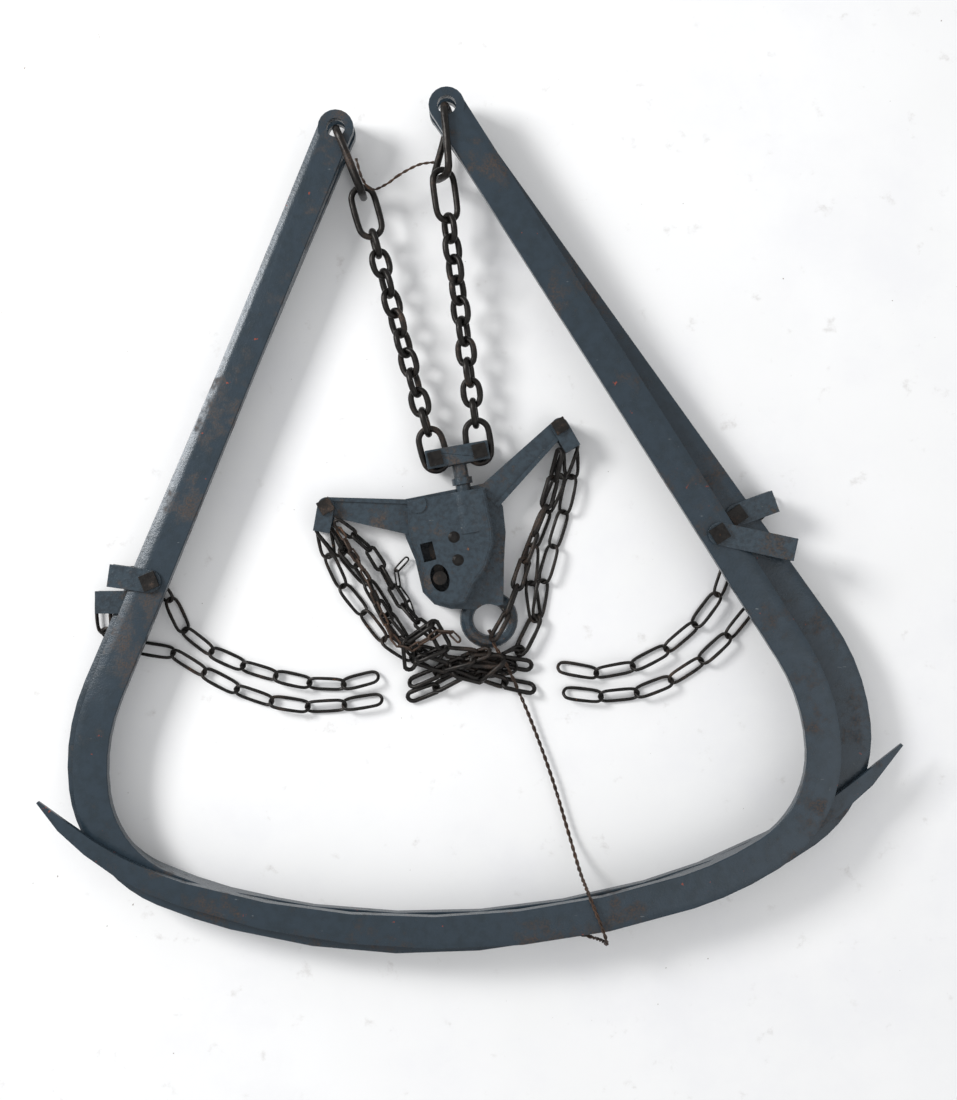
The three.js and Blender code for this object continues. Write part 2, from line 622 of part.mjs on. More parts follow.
RIVETS.forEach(([u, v], i) => {
  const head = HEAD_FRONT_Z + FIT_GAP;
  const rivet = bar(RIVET_R, HEAD_BACK_Z + HEAD_WALL + FIT_GAP, head, u, v)
    .add(Manifold.cylinder(RIVET_HEAD_THICK, RIVET_R * RIVET_HEAD_SHARE, RIVET_R, ROUND)
      .translate([u, v, head]));
  addNode(`cover_rivet_${i + 1}`, inHead(rivet), BARE_IRON);
});

// Where the ends of the clevis pins stand, in plan
function pinPlace(knee, turn, long) {
  const reach = long - PIN_R;
  return [knee.x + reach * Math.cos(turn * DEGREE), knee.y + reach * Math.sin(turn * DEGREE)];
}

// A strand that starts with its first link round a pin
function hungStrand(pin, places, startZ = STRAND_Z) {
  const [x, y] = places[0];
  const away = Math.hypot(x - pin[0], y - pin[1]);
  const back = STRAND_WIRE + PIN_R - STRAND_BITE;
  const start = [pin[0] - (x - pin[0]) / away * back, pin[1] - (y - pin[1]) / away * back];
  const heights = [startZ, (startZ + STRAND_Z) / 2];
  const all = [start, ...places].map(([px, py], i) => [px, py, heights[i] ?? STRAND_Z]);
  return strand(all, STRAND_WIRE, STRAND_LONG, STRAND_WIDE, STRAND_BITE);
}

const KNEE_STRANDS = {
  left_front: [[-356, -38], [-334, -60], [-322, -92], [-285, -124], [-215, -150], [-150, -160],
    [-106, -150]],
  left_back: [[-403, -100], [-378, -116], [-330, -124], [-290, -148], [-237, -173], [-173, -184],
    [-102, -175]],
  right_back: [[292, 12], [278, -22], [266, -58], [240, -94], [200, -126], [145, -147],
    [92, -140]],
  right_front: [[318, -42], [300, -76], [270, -112], [222, -150], [160, -172], [98, -168]],
};
for (const name of Object.keys(TINES)) {
  const knee = kneePlace(name, chains[TINES[name].side].eye);
  const { turn, long } = CLEVISES[name];
  const hung = hungStrand(pinPlace(knee, turn, long), KNEE_STRANDS[name]);
  addNode(`knee_chain_${name}`, hung, BARE_IRON);
}

// The wing chains run down both sides of the head and meet in a bundle under the ring
const WING_STRANDS = {
  left: [[-160, -14], [-146, -48], [-118, -84], [-92, -116], [-50, -136], [10, -142], [40, -138]],
  left_outer: [[-150, -8], [-128, -34], [-104, -64], [-86, -98], [-62, -128], [-10, -146],
    [44, -140]],
  right: [[106, 74], [98, 32], [84, -14], [72, -58], [64, -100], [36, -134], [-20, -146]],
  right_outer: [[95, 72], [82, 38], [66, 2], [60, -40], [66, -90], [40, -132], [-30, -142]],
};

const OUTER_RISE_SHARE = 2.6;

// The outer skin alone, where wires crowd round a closed pocket
function withoutVoids(solid) {
  const skins = solid.decompose().sort((a, b) => b.volume() - a.volume());
  return skins[0];
}

function makeWingChains() {
  const parts = [];
  for (const [name, places] of Object.entries(WING_STRANDS)) {
    const side = name.split("_")[0];
    const [u, v] = WINGS[side].end;
    const [pu, pv] = pinPlace({ x: u, y: v }, WING_CLEVIS_TURN[side], WING_CLEVIS_LONG);
    const pin = headPoint(pu, pv, 0);
    const startZ = WING_LOW + (name.endsWith("outer") ? OUTER_RISE_SHARE : 1) * STRAND_WIRE;
    parts.push(hungStrand([pin.x, pin.y], places, startZ));
  }
  return withoutVoids(Manifold.union(parts));
}
addNode("wing_chains", makeWingChains(), BARE_IRON);

const TRIP_PLACES = [[-73, -22], [-85, -34], [-83, -52], [-72, -68], [-66, -86]];
const TRIP_Z = 7;
addNode("trip_chain", strand(TRIP_PLACES.map(([x, y]) => [x, y, TRIP_Z]), TRIP_WIRE, TRIP_LONG,
  TRIP_WIDE, STRAND_BITE / 2), BARE_IRON);

// The origin is the middle of the box, on the floor
const box = new THREE.Box3().setFromObject(group);
const middle = box.getCenter(new THREE.Vector3());
group.position.set(-middle.x, -middle.y, -box.min.z);

// Where the hinges stand, for whoever poses the fork
group.userData.hinges = {
  left_eye: chains.left.eye.clone().add(group.position),
  right_eye: chains.right.eye.clone().add(group.position),
  left_bolt: chains.left.bolt.clone().add(group.position),
  right_bolt: chains.right.bolt.clone().add(group.position),
};

export default group;
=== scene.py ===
"""Dresses the grapple fork: finishes, rounded edges, loose chains, tie wires, floor, light and camera."""

import json
import logging
import math
from dataclasses import dataclass, field
from enum import Enum

import bpy
from mathutils import Matrix, Vector

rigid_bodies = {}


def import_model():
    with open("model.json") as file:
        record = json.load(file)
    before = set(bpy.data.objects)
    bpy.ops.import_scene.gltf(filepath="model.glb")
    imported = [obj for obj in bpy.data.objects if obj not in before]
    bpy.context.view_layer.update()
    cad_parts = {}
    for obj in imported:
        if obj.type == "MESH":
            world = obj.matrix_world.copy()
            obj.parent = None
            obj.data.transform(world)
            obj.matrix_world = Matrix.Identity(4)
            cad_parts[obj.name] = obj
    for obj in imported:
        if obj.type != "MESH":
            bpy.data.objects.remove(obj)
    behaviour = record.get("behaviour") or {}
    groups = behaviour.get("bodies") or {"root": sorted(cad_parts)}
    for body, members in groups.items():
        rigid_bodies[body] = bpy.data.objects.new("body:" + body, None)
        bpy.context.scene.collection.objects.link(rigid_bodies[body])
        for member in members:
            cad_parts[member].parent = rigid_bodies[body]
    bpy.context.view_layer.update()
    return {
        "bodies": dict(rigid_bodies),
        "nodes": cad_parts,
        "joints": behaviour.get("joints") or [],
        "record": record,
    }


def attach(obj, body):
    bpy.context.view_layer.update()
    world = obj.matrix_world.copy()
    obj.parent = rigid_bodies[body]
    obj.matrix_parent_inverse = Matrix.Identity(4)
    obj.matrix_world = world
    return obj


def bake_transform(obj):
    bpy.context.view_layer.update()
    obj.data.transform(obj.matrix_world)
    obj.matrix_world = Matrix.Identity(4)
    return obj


LOG = logging.getLogger("fork")
MM = 0.001
PHOTO_AIM = (0.0076, -0.0294)
PHOTO_MIDDLE = (478.5, 550.0)
PHOTO_SCALE = 1.09 * MM
PHOTO_HEIGHT = 1.75
UP = Vector((0, 0, 1))

NOISE_ROUGHNESS = 0.6
BROAD_DETAIL = 6.0
FINE_DETAIL = 8.0
FINE_PATCH_SHARE = 1 / 7
FINE_WEIGHT = 0.45
GRAIN_DETAIL = 5.0
GRAIN_WEIGHT = 0.6
SCRATCH_DETAIL = 3.0
SCRATCH_GRAINS = 2
SCRATCH_STRETCH = (0.3, 1.0, 1.0)
SCRATCH_RANGE = (0.71, 0.78)
TONE_RANGE = (0.35, 0.70)
GRIME_RANGE = (0.35, 0.65)
CHIP_DETAIL = 4.0
CHIP_EDGE = 0.02
BUMP_STRENGTH = 0.8


def seen_at(px: float, py: float, height_mm: float) -> Vector:
    """The place at a height that the photograph shows at a pixel.

    Args:
        px: Pixels from the left.
        py: Pixels from the top.
        height_mm: How high it is over the floor, in millimetres.

    Returns:
        The point in the row frame, in metres.
    """
    z = height_mm * MM
    scale = PHOTO_SCALE * (1 - z / PHOTO_HEIGHT)
    x = (px - PHOTO_MIDDLE[0]) * scale + PHOTO_AIM[0]
    return Vector((x, (PHOTO_MIDDLE[1] - py) * scale + PHOTO_AIM[1], z))


def smooth_line(route: tuple[tuple[float, float, float], ...], step: float) -> list[Vector]:
    """A smooth curve through places of the photograph.

    Args:
        route: Pixels across and down, and heights in millimetres.
        step: About how far apart its points are, in metres.

    Returns:
        The curve's points.
    """
    spots = [seen_at(*p) for p in route]
    fine = []
    for i in range(len(spots) - 1):
        a, b = spots[max(i - 1, 0)], spots[i]
        c, d = spots[i + 1], spots[min(i + 2, len(spots) - 1)]
        count = max(2, round((c - b).length / step))
        for k in range(count):
            t = k / count
            near = 2 * b + (c - a) * t + (2 * a - 5 * b + 4 * c - d) * t * t
            fine.append((near + (3 * b - a - 3 * c + d) * t * t * t) / 2)
    fine.append(spots[-1])
    return fine


class Coat(Enum):
    """The record's material slots."""

    PAINT = "old_paint"
    IRON = "bare_iron"


def linear(code: str) -> tuple[float, float, float, float]:
    """Turns an sRGB hex colour into linear RGBA.

    Args:
        code: Six hex digits.

    Returns:
        Red, green, blue and alpha.
    """
    parts = [int(code[i : i + 2], 16) / 255 for i in (0, 2, 4)]
    lin = [c / 12.92 if c <= 0.04045 else ((c + 0.055) / 1.055) ** 2.4 for c in parts]
    return (lin[0], lin[1], lin[2], 1.0)


def add_node(tree: bpy.types.NodeTree, kind: str, settings: dict, links: dict) -> bpy.types.Node:
    """Adds a shader node with its settings and links.

    Args:
        tree: The node tree.
        kind: The node's type name.
        settings: Properties by name, and socket values under "in".
        links: Input socket name or index to an output socket.

    Returns:
        The new node.
    """
    node = tree.nodes.new(kind)
    for name, value in settings.items():
        if name != "in":
            setattr(node, name, value)
    for name, value in settings.get("in", {}).items():
        node.inputs[name].default_value = value
    for name, source in links.items():
        tree.links.new(source, node.inputs[name])
    return node


def new_material(name: str) -> tuple[bpy.types.Material, bpy.types.NodeTree, bpy.types.Node]:
    """Makes an empty material with a principled shader.

    Args:
        name: The material's name.

    Returns:
        The material, its tree and its shader.
    """
    material = bpy.data.materials.new(name)
    material.use_nodes = True
    tree = material.node_tree
    return material, tree, tree.nodes["Principled BSDF"]


def ease(tree: bpy.types.NodeTree, value: bpy.types.NodeSocket, low: float,
         high: float) -> bpy.types.NodeSocket:
    """Maps a value smoothly from low to high onto 0 to 1.

    Args:
        tree: The node tree.
        value: The value.
        low: Where 0 is.
        high: Where 1 is.

    Returns:
        The mapped value.
    """
    made = add_node(tree, "ShaderNodeMapRange",
                    {"interpolation_type": "SMOOTHSTEP", "in": {"From Min": low, "From Max": high}},
                    {"Value": value})
    return made.outputs["Result"]


def mix(tree: bpy.types.NodeTree, share: bpy.types.NodeSocket, first: bpy.types.NodeSocket | str,
        second: bpy.types.NodeSocket | str) -> bpy.types.NodeSocket:
    """Mixes two colours.

    Args:
        tree: The node tree.
        share: How much of the second.
        first: A socket or a hex code.
        second: A socket or a hex code.

    Returns:
        The mixed colour.
    """
    node = add_node(tree, "ShaderNodeMix", {"data_type": "RGBA"}, {"Factor": share})
    for name, value in (("A", first), ("B", second)):
        socket = [s for s in node.inputs if s.name == name and s.type == "RGBA"][0]
        if isinstance(value, str):
            socket.default_value = linear(value)
        else:
            tree.links.new(value, socket)
    return [s for s in node.outputs if s.type == "RGBA"][0]


@dataclass(frozen=True)
class WornCoat:
    """A base colour that wears through to a second one in patches, with scratches and a fine grain."""

    name: str
    base: str
    shade: str
    worn: str
    scratch: str
    chip: str
    patch_mm: float
    worn_from: float
    worn_to: float
    roughness: float
    worn_roughness: float
    metallic: float
    worn_metallic: float
    bump_mm: float
    grain_mm: float
    chip_mm: float = 11.0
    chip_from: float = 0.70

    def noise(self, tree: bpy.types.NodeTree, vector: bpy.types.NodeSocket, size_mm: float,
              detail: float, stretch: tuple[float, float, float] = (1, 1, 1)) -> bpy.types.NodeSocket:
        """Adds a noise of a real size.

        Args:
            tree: The node tree.
            vector: The coordinates.
            size_mm: How large a patch is.
            detail: The noise's octaves.
            stretch: Scale along each axis.

        Returns:
            The noise's factor.
        """
        mapped = add_node(tree, "ShaderNodeMapping", {"in": {"Scale": stretch}}, {"Vector": vector})
        scale = 1 / (size_mm * MM)
        made = add_node(tree, "ShaderNodeTexNoise",
                        {"in": {"Scale": scale, "Detail": detail, "Roughness": NOISE_ROUGHNESS}},
                        {"Vector": mapped.outputs["Vector"]})
        return made.outputs["Fac"]

    def colour(self, tree: bpy.types.NodeTree, where: bpy.types.NodeSocket, worn: bpy.types.NodeSocket,
               fine: bpy.types.NodeSocket, grain: bpy.types.NodeSocket) -> bpy.types.NodeSocket:
        """The coat's colour, with its grime, scratches and chips.

        Args:
            tree: The node tree.
            where: The coordinates.
            worn: How far the coat is worn.
            fine: The small patches.
            grain: The surface's grain.

        Returns:
            The colour.
        """
        drawn = self.noise(tree, where, self.grain_mm * SCRATCH_GRAINS, SCRATCH_DETAIL, SCRATCH_STRETCH)
        spots = self.noise(tree, where, self.chip_mm, CHIP_DETAIL)
        tone = mix(tree, ease(tree, fine, *TONE_RANGE), self.base, self.shade)
        rusty = mix(tree, ease(tree, grain, *GRIME_RANGE), self.worn, self.shade)
        worked = mix(tree, worn, tone, rusty)
        scratched = mix(tree, ease(tree, drawn, *SCRATCH_RANGE), worked, self.scratch)
        chipped = ease(tree, spots, self.chip_from, self.chip_from + CHIP_EDGE)
        return mix(tree, chipped, scratched, self.chip)

    def build(self) -> bpy.types.Material:
        """Makes the material.

        Returns:
            The material.
        """
        material, tree, shader = new_material(self.name)
        where = add_node(tree, "ShaderNodeTexCoord", {}, {}).outputs["Object"]
        broad = self.noise(tree, where, self.patch_mm, BROAD_DETAIL)
        fine = self.noise(tree, where, self.patch_mm * FINE_PATCH_SHARE, FINE_DETAIL)
        grain = self.noise(tree, where, self.grain_mm, GRAIN_DETAIL)
        both = add_node(tree, "ShaderNodeMath", {"operation": "MULTIPLY_ADD", "in": {1: FINE_WEIGHT}},
                        {0: fine, 2: broad}).outputs[0]
        worn = ease(tree, both, self.worn_from, self.worn_to)
        tree.links.new(self.colour(tree, where, worn, fine, grain), shader.inputs["Base Color"])
        for name, low, high in (("Roughness", self.roughness, self.worn_roughness),
                                ("Metallic", self.metallic, self.worn_metallic)):
            value = add_node(tree, "ShaderNodeMapRange", {"in": {"To Min": low, "To Max": high}},
                             {"Value": worn})
            tree.links.new(value.outputs["Result"], shader.inputs[name])
        height = add_node(tree, "ShaderNodeMath", {"operation": "MULTIPLY_ADD", "in": {1: GRAIN_WEIGHT}},
                          {0: grain, 2: fine}).outputs[0]
        bump = add_node(tree, "ShaderNodeBump",
                        {"in": {"Strength": BUMP_STRENGTH, "Distance": self.bump_mm * MM}},
                        {"Height": height})
        tree.links.new(bump.outputs["Normal"], shader.inputs["Normal"])
        return material


# Brushed enamel on forged steel bars: an even dark blue-grey sheen, rubbed brown in a few patches.
PAINT = WornCoat(
    name="worn_enamel_on_forged_steel", base="2a3741", shade="243038", worn="463a33",
    scratch="6a7073", chip="8a4030", patch_mm=80, worn_from=0.76, worn_to=0.93, roughness=0.27,
    worn_roughness=0.62, metallic=0.1, worn_metallic=0.2, bump_mm=0.4, grain_mm=2.0)

# The same enamel on rough sand-cast iron: lighter and greyer, with brown grime in its grain.
CASTING = WornCoat(
    name="grimy_enamel_on_cast_iron", base="34414a", shade="273037", worn="50443b",
    scratch="7f7c75", chip="6b4a38", patch_mm=38, worn_from=0.76, worn_to=0.94, roughness=0.26,
    worn_roughness=0.6, metallic=0.1, worn_metallic=0.3, bump_mm=0.6, grain_mm=2.4)

# Bare welded chain and bolts with an old oily rust skin: brown-black, with dull highlights.
IRON = WornCoat(
    name="oily_brown_black_iron", base="2a2826", shade="1b1918", worn="4b3a2e",
    scratch="6a655f", chip="60432f", patch_mm=40, worn_from=0.74, worn_to=0.95, roughness=0.36,
    worn_roughness=0.62, metallic=0.7, worn_metallic=0.3, bump_mm=0.4, grain_mm=1.6)

# Thin annealed wire that has rusted all over: matt and warm brown.
WIRE = WornCoat(
    name="rusted_annealed_wire", base="4a3c33", shade="2e2723", worn="6b4c36",
    scratch="8a7d70", chip="7a5236", patch_mm=25, worn_from=0.7, worn_to=0.9, roughness=0.5,
    worn_roughness=0.75, metallic=0.6, worn_metallic=0.3, bump_mm=0.2, grain_mm=1.2)


@dataclass
class Dressing:
    """Rounds the edges of the frame's solids and gives them their finishes."""

    frame: dict
    edge: float = 0.9 * MM
    weld: float = 0.02 * MM
    link_grow: float = 0.5 * MM
    strand_grow: float = 0.15 * MM
    edge_angle: float = math.radians(34)
    edge_segments: int = 3
    smooth_levels: int = 2
    wires: tuple[str, ...] = ("chain_", "knee_chain", "wing_chains", "trip_chain")
    links: tuple[str, ...] = ("chain_left_", "chain_right_")
    fixed: str = "big_link"
    cast: tuple[str, ...] = ("back_casting", "front_cover", "swivel_post", "crossbar_strap",
                             "wing_clevis", "knee_clevis")
    coats: dict[str, bpy.types.Material] = field(default_factory=dict)
    casting: bpy.types.Material | None = None

    def coat_of(self, name: str) -> Coat:
        """The record's slot of a node.

        Args:
            name: The node's name.

        Returns:
            Its slot.
        """
        for row in self.frame["record"]["subparts"]:
            if row["node"] == name:
                return Coat(row["material_slot"])
        return Coat.PAINT

    def paint(self, obj: bpy.types.Object, material: bpy.types.Material) -> None:
        """Gives an object one finish on its own slots.

        Args:
            obj: A node of the frame.
            material: The finish.
        """
        if not obj.material_slots:
            obj.data.materials.append(material)
        for slot in obj.material_slots:
            slot.link = "OBJECT"
            slot.material = material

    def growth_of(self, name: str) -> float:
        """How far a wire's flat sides are pushed out before they are smoothed.

        Args:
            name: The node's name.

        Returns:
            A length in metres.
        """
        if name.endswith(self.fixed):
            return 0.0
        return self.link_grow if name.startswith(self.links) else self.strand_grow

    def round_wire(self, obj: bpy.types.Object) -> None:
        """Turns a faceted wire into a round one.

        Args:
            obj: A link or a strand.
        """
        weld = obj.modifiers.new("weld", "WELD")
        weld.merge_threshold = self.weld
        grow = obj.modifiers.new("grow", "DISPLACE")
        grow.strength = self.growth_of(obj.name)
        grow.mid_level = 0
        smooth = obj.modifiers.new("smooth", "SUBSURF")
        smooth.levels = self.smooth_levels
        smooth.render_levels = self.smooth_levels
        obj.data.polygons.foreach_set("use_smooth", [True] * len(obj.data.polygons))

    def round_edges(self, obj: bpy.types.Object) -> None:
        """Softens the sharp edges of a forged or cast solid.

        Args:
            obj: A solid.
        """
        weld = obj.modifiers.new("weld", "WELD")
        weld.merge_threshold = self.weld
        bevel = obj.modifiers.new("edge", "BEVEL")
        bevel.width = self.edge
        bevel.segments = self.edge_segments
        bevel.limit_method = "ANGLE"
        bevel.angle_limit = self.edge_angle
        bevel.use_clamp_overlap = True
        flat = obj.modifiers.new("normals", "WEIGHTED_NORMAL")
        flat.keep_sharp = False
        obj.data.polygons.foreach_set("use_smooth", [True] * len(obj.data.polygons))

    def dress(self) -> None:
        """Dresses every node of the frame."""
        self.coats = {Coat.PAINT.value: PAINT.build(), Coat.IRON.value: IRON.build()}
        self.casting = CASTING.build()
        for name, obj in sorted(self.frame["nodes"].items()):
            finish = self.casting if name.startswith(self.cast) else self.coats[self.coat_of(name).value]
            self.paint(obj, finish)
            if name.startswith(self.wires):
                self.round_wire(obj)
            else:
                self.round_edges(obj)
            LOG.info("dressed %s", name)


@dataclass
class TieWire:
    """A pair of thin wires twisted round each other along a route."""

    name: str
    body: str
    route: tuple[tuple[float, float, float], ...]
    wire: float = 1.1 * MM
    apart: float = 1.1 * MM
    turn_every: float = 17 * MM
    step: float = 2.4 * MM
    steep: float = 0.9
    bend_fifths: tuple[int, int] = (1, 3)
    far_body: str = ""

    def strand(self, line: list[Vector], phase: float) -> list[Vector]:
        """One wire's own line round the route.

        Args:
            line: The route.
            phase: Where round the route it starts, in radians.

        Returns:
            Its points.
        """
        run = 0.0
        out = []
        for i, point in enumerate(line):
            ahead = (line[min(i + 1, len(line) - 1)] - line[max(i - 1, 0)]).normalized()
            side = ahead.orthogonal() if abs(ahead.z) > self.steep else ahead.cross(UP)
            side.normalize()
            up = side.cross(ahead)
            turn = phase + 2 * math.pi * run / self.turn_every
            out.append(point + self.apart * (math.cos(turn) * side + math.sin(turn) * up))
            run += (line[min(i + 1, len(line) - 1)] - point).length
        return out

    def build(self, material: bpy.types.Material) -> None:
        """Makes both wires, and fastens them to their body when they have no far body.

        Args:
            material: Their finish.
        """
        line = smooth_line(self.route, self.step)
        for index, phase in enumerate((0.0, math.pi)):
            points = self.strand(line, phase)
            bpy.ops.object.select_all(action="DESELECT")
            bpy.ops.curve.primitive_nurbs_path_add(location=(0, 0, 0))
            wire = bpy.context.active_object
            wire.name = f"{self.name}_{index + 1}"
            wire.data.splines.clear()
            spline = wire.data.splines.new("POLY")
            spline.points.add(len(points) - 1)
            for spot, point in zip(spline.points, points):
                spot.co = (*point, 1)
            wire.data.bevel_depth = self.wire
            wire.data.bevel_resolution = 1
            wire.data.use_fill_caps = True
            bpy.ops.object.convert(target="MESH")
            wire = bpy.context.active_object
            bpy.ops.object.shade_smooth()
            wire.data.materials.clear()
            wire.data.materials.append(material)
            if self.far_body:
                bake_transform(wire)
            else:
                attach(wire, self.body)
        LOG.info("built %s", self.name)


LOWER_WIRE = TieWire("lower_tie_wire", "head", (
    (489, 630, 17), (495, 646, 17), (508, 668, 15), (530, 718, 8), (552, 778, 8), (570, 838, 10),
    (580, 872, 30), (588, 893, 64), (594, 908, 71), (603, 930, 71), (607, 944, 60), (602, 941, 34),
    (590, 937, 8), (574, 933, 6)), far_body="crossbar")
UPPER_LEFT_WIRE = TieWire("upper_tie_wire_left", "chain_left", (
    (356, 158, 68), (362, 178, 66), (372, 189, 52), (386, 184, 40), (397, 176, 40)),
    wire=0.8 * MM, apart=0.8 * MM, far_body="crossbar")
UPPER_RIGHT_WIRE = TieWire("upper_tie_wire_right", "chain_right", (
    (434, 162, 52), (420, 164, 44), (407, 170, 40), (397, 176, 40)),
    wire=0.8 * MM, apart=0.8 * MM, far_body="crossbar")


@dataclass
class LinkRun:
    """Wire links that pass through each other along a route."""

    name: str
    route: tuple[tuple[float, float, float], ...]
    body: str = "head"
    long: float = 40 * MM
    wide: float = 18 * MM
    wire: float = 5 * MM
    rolls: tuple[float, ...] = (25.0, 110.0, -15.0, 70.0)
    bends: int = 14
    sides: int = 8
    step: float = 2 * MM
    rusty: bool = False

    def spots(self) -> list[Vector]:
        """Where the links' ends meet, evenly spaced along the route.

        Returns:
            The places in order.
        """
        line = smooth_line(self.route, self.step)
        pitch = self.long - 2 * self.wire
        found = [line[0]]
        for point in line[1:]:
            if (point - found[-1]).length >= pitch:
                found.append(point)
        return found

    def link(self) -> bpy.types.Object:
        """One flat link at the origin, its length along X.

        Returns:
            The link.
        """
        bpy.ops.object.select_all(action="DESELECT")
        bpy.ops.mesh.primitive_torus_add(
            location=(0, 0, 0), rotation=(0, 0, math.pi / self.bends),
            major_segments=self.bends, minor_segments=self.sides,
            major_radius=(self.wide - self.wire) / 2, minor_radius=self.wire / 2)
        bpy.ops.object.transform_apply(location=False, rotation=True, scale=False)
        made = bpy.context.active_object
        straight = (self.long - self.wide) / 2
        for sign in (-1, 1):
            bpy.ops.object.mode_set(mode="EDIT")
            bpy.ops.mesh.select_all(action="DESELECT")
            bpy.ops.object.mode_set(mode="OBJECT")
            for vertex in made.data.vertices:
                vertex.select = vertex.co.x * sign > 0
            bpy.ops.object.mode_set(mode="EDIT")
            bpy.ops.transform.translate(value=(sign * straight, 0, 0))
            bpy.ops.object.mode_set(mode="OBJECT")
        return made

    def build(self, material: bpy.types.Material) -> None:
        """Makes the run and fastens it to its body.

        Args:
            material: Its finish.
        """
        first = self.link()
        spots = self.spots()
        links = []
        for i, (a, b) in enumerate(zip(spots, spots[1:])):
            x = (b - a).normalized()
            side = UP.cross(x).normalized()
            turn = Matrix((x, side, x.cross(side))).transposed().to_4x4()
            roll = Matrix.Rotation(math.radians(self.rolls[i % len(self.rolls)]), 4, "X")
            link = first.copy()
            link.data = first.data.copy()
            link.data.transform(Matrix.Translation((a + b) / 2) @ turn @ roll)
            bpy.context.scene.collection.objects.link(link)
            links.append(link)
        bpy.data.objects.remove(first)
        bpy.ops.object.select_all(action="DESELECT")
        for link in links:
            link.select_set(True)
        bpy.context.view_layer.objects.active = links[0]
        bpy.ops.object.join()
        run = bpy.context.active_object
        run.name = self.name
        bpy.ops.object.shade_smooth()
        run.data.materials.clear()
        run.data.materials.append(material)
        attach(run, self.body)
        LOG.info("built %s", self.name)


LINK_RUNS = (
    LinkRun("left_wing_inner_chain", ((336, 522, 30), (352, 534, 22), (372, 552, 12), (388, 580, 10),
            (402, 604, 12), (424, 628, 16), (448, 642, 20)), long=31 * MM, wide=15 * MM, wire=4.2 * MM),
    LinkRun("left_wing_loose_chain", ((332, 530, 16), (344, 552, 18), (364, 574, 18), (380, 606, 16),
            (398, 634, 16), (420, 650, 18), (446, 656, 20)), long=31 * MM, wide=15 * MM, wire=4.2 * MM,
            rolls=(80.0, -20.0, 50.0)),
    LinkRun("right_wing_loose_chain", ((560, 452, 30), (553, 480, 18), (544, 512, 14), (530, 546, 14),
            (519, 580, 16), (508, 612, 20), (492, 640, 24), (470, 652, 24)), rolls=(60.0, -30.0, 100.0)),
    LinkRun("bundle_coil", ((410, 668, 12), (404, 648, 18), (420, 630, 22), (442, 622, 26),
            (456, 636, 26), (440, 652, 24), (418, 660, 20), (430, 674, 14), (455, 664, 20),
            (480, 660, 24), (505, 662, 22), (520, 672, 14), (500, 680, 10), (472, 676, 14),
            (448, 668, 20))),
    LinkRun("bundle_left_tail", ((488, 652, 22), (460, 662, 16), (432, 675, 10), (402, 687, 7)),
            rolls=(40.0, -30.0)),
    LinkRun("bundle_left_lower_tail", ((486, 664, 16), (459, 676, 12), (431, 690, 8), (402, 700, 7)),
            rolls=(-30.0, 50.0)),
    LinkRun("bundle_right_tail", ((447, 652, 22), (475, 655, 17), (502, 661, 11), (536, 667, 8)),
            rolls=(30.0, -45.0)),
    LinkRun("bundle_right_lower_tail", ((452, 664, 18), (480, 675, 13), (508, 684, 8), (538, 690, 7)),
            rolls=(-40.0, 35.0)),
    LinkRun("thin_rusty_chain", ((338, 528, 26), (352, 552, 26), (368, 580, 24), (380, 610, 20),
            (392, 636, 20), (406, 650, 24), (426, 640, 30), (446, 630, 32), (460, 642, 34)),
            long=17 * MM, wide=9 * MM, wire=2.6 * MM, sides=6, bends=10, rusty=True),
)


@dataclass(frozen=True)
class FloorMark:
    """A kind of grime on the floor: its colour, how dense its pattern is and where it starts and is full."""

    colour: str
    scale: float
    detail: float
    start: float
    full: float


@dataclass(frozen=True)
class Lamp:
    """A square lamp: its name, its place and side in metres, and its watts."""

    name: str
    place: tuple[float, float, float]
    size: float
    watts: float


SCUFFS = FloorMark("f3f3f4", 5.0, 15.0, 0.42, 0.70)
STAINS = FloorMark("dedcda", 30.0, 15.0, 0.60, 0.76)
SPECKS = FloorMark("948b82", 110.0, 2.0, 0.76, 0.79)
KEY = Lamp("key", (-1.9, 0.9, 1.7), 0.8, 52.0)
FILL = Lamp("fill", (1.6, -0.8, 2.4), 2.2, 10.0)


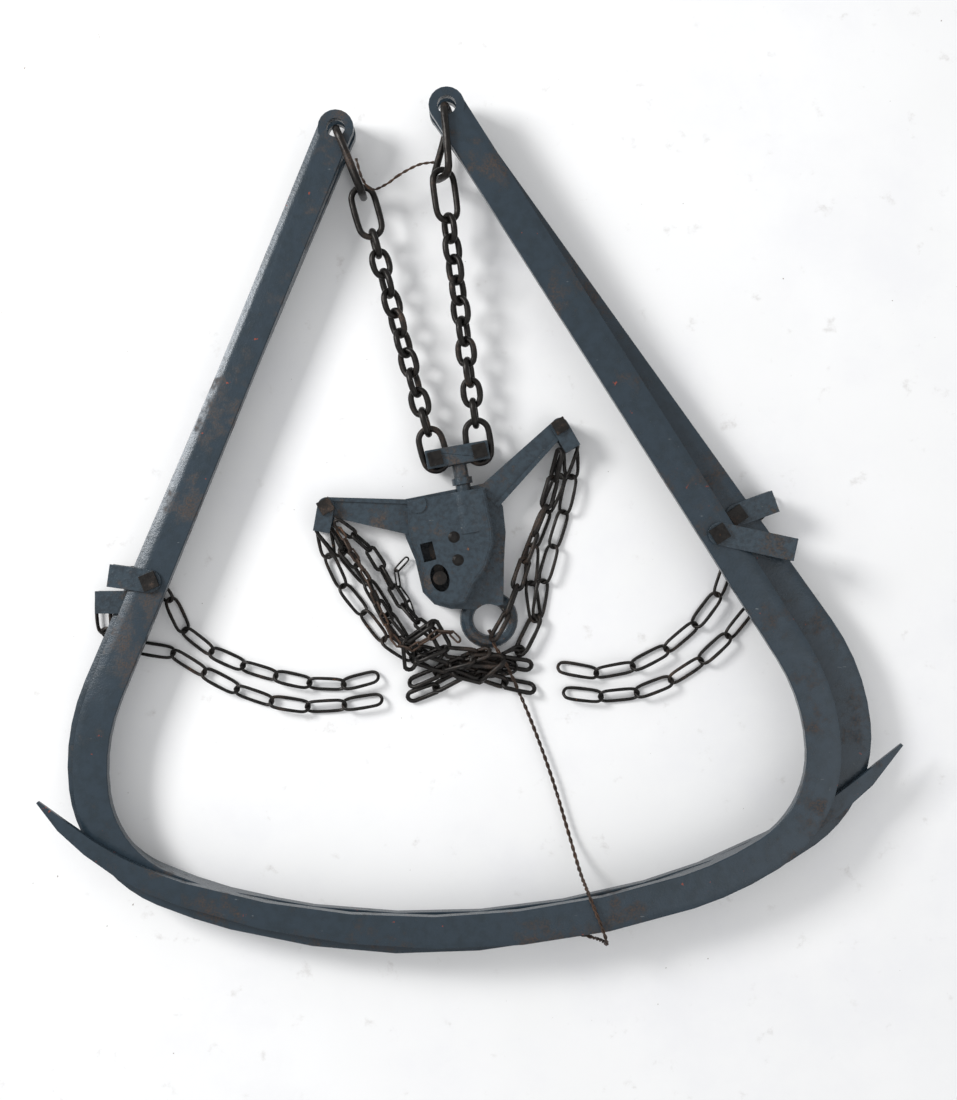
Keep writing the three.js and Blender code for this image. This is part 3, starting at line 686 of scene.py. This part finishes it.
@dataclass
class Studio:
    """The floor, the light and the camera."""

    floor_size: float = 14.0
    floor_pale: str = "fbfbfb"
    floor_dull: str = "f4f4f3"
    floor_roughness: float = 0.75
    cloud_scale: float = 7.0
    cloud_detail: float = 9.0
    mark_roughness: float = 0.65
    marks: tuple[FloorMark, ...] = (SCUFFS, STAINS, SPECKS)
    room_colour: str = "f2f3f5"
    room_strength: float = 0.7
    lens: float = 52.5
    long_side: float = 36.0
    height: float = PHOTO_HEIGHT
    aim: tuple[float, float] = PHOTO_AIM

    def floor(self) -> None:
        """A pale, lightly soiled concrete floor just under the fork."""
        bpy.ops.object.select_all(action="DESELECT")
        bpy.ops.mesh.primitive_plane_add(size=self.floor_size, location=(0, 0, 0))
        plane = bpy.context.active_object
        plane.name = "floor"
        material, tree, shader = new_material("pale_floor")
        where = add_node(tree, "ShaderNodeTexCoord", {}, {}).outputs["Object"]
        cloud = add_node(tree, "ShaderNodeTexNoise",
                         {"in": {"Scale": self.cloud_scale, "Detail": self.cloud_detail}},
                         {"Vector": where})
        colour = mix(tree, cloud.outputs["Fac"], self.floor_pale, self.floor_dull)
        for mark in self.marks:
            noise = add_node(tree, "ShaderNodeTexNoise",
                             {"in": {"Scale": mark.scale, "Detail": mark.detail,
                                     "Roughness": self.mark_roughness}},
                             {"Vector": where})
            share = ease(tree, noise.outputs["Fac"], mark.start, mark.full)
            colour = mix(tree, share, colour, mark.colour)
        tree.links.new(colour, shader.inputs["Base Color"])
        shader.inputs["Roughness"].default_value = self.floor_roughness
        plane.data.materials.append(material)

    def hang(self, lamp: Lamp) -> None:
        """Hangs a lamp so that it faces the fork.

        Args:
            lamp: The lamp.
        """
        data = bpy.data.lights.new(lamp.name, "AREA")
        data.size = lamp.size
        data.energy = lamp.watts
        hung = bpy.data.objects.new(lamp.name, data)
        hung.location = lamp.place
        hung.rotation_euler = (-Vector(lamp.place)).to_track_quat("-Z", "Y").to_euler()
        bpy.context.scene.collection.objects.link(hung)

    def light(self) -> None:
        """Soft light from the left and above, and an even room."""
        world = bpy.data.worlds.new("room")
        bpy.context.scene.world = world
        world.use_nodes = True
        back = world.node_tree.nodes["Background"]
        back.inputs["Color"].default_value = linear(self.room_colour)
        back.inputs["Strength"].default_value = self.room_strength
        self.hang(KEY)
        self.hang(FILL)

    def camera(self) -> None:
        """The photographer's place, straight above."""
        data = bpy.data.cameras.new("camera")
        data.lens = self.lens
        data.sensor_fit = "VERTICAL"
        data.sensor_height = self.long_side
        camera = bpy.data.objects.new("camera", data)
        camera.location = (*self.aim, self.height)
        bpy.context.scene.collection.objects.link(camera)
        bpy.context.scene.camera = camera
        bpy.context.scene.view_settings.view_transform = "Standard"

    def build(self) -> None:
        """Builds the studio."""
        self.floor()
        self.light()
        self.camera()
        LOG.info("studio built")


def main() -> None:
    """Builds the scene in order."""
    logging.basicConfig(level=logging.INFO)
    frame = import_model()
    dressing = Dressing(frame)
    dressing.dress()
    wire_coat = WIRE.build()
    for wire in (LOWER_WIRE, UPPER_LEFT_WIRE, UPPER_RIGHT_WIRE):
        wire.build(wire_coat)
    for run in LINK_RUNS:
        run.build(wire_coat if run.rusty else dressing.coats[Coat.IRON.value])
    Studio().build()


if __name__ == "__main__":
    main()
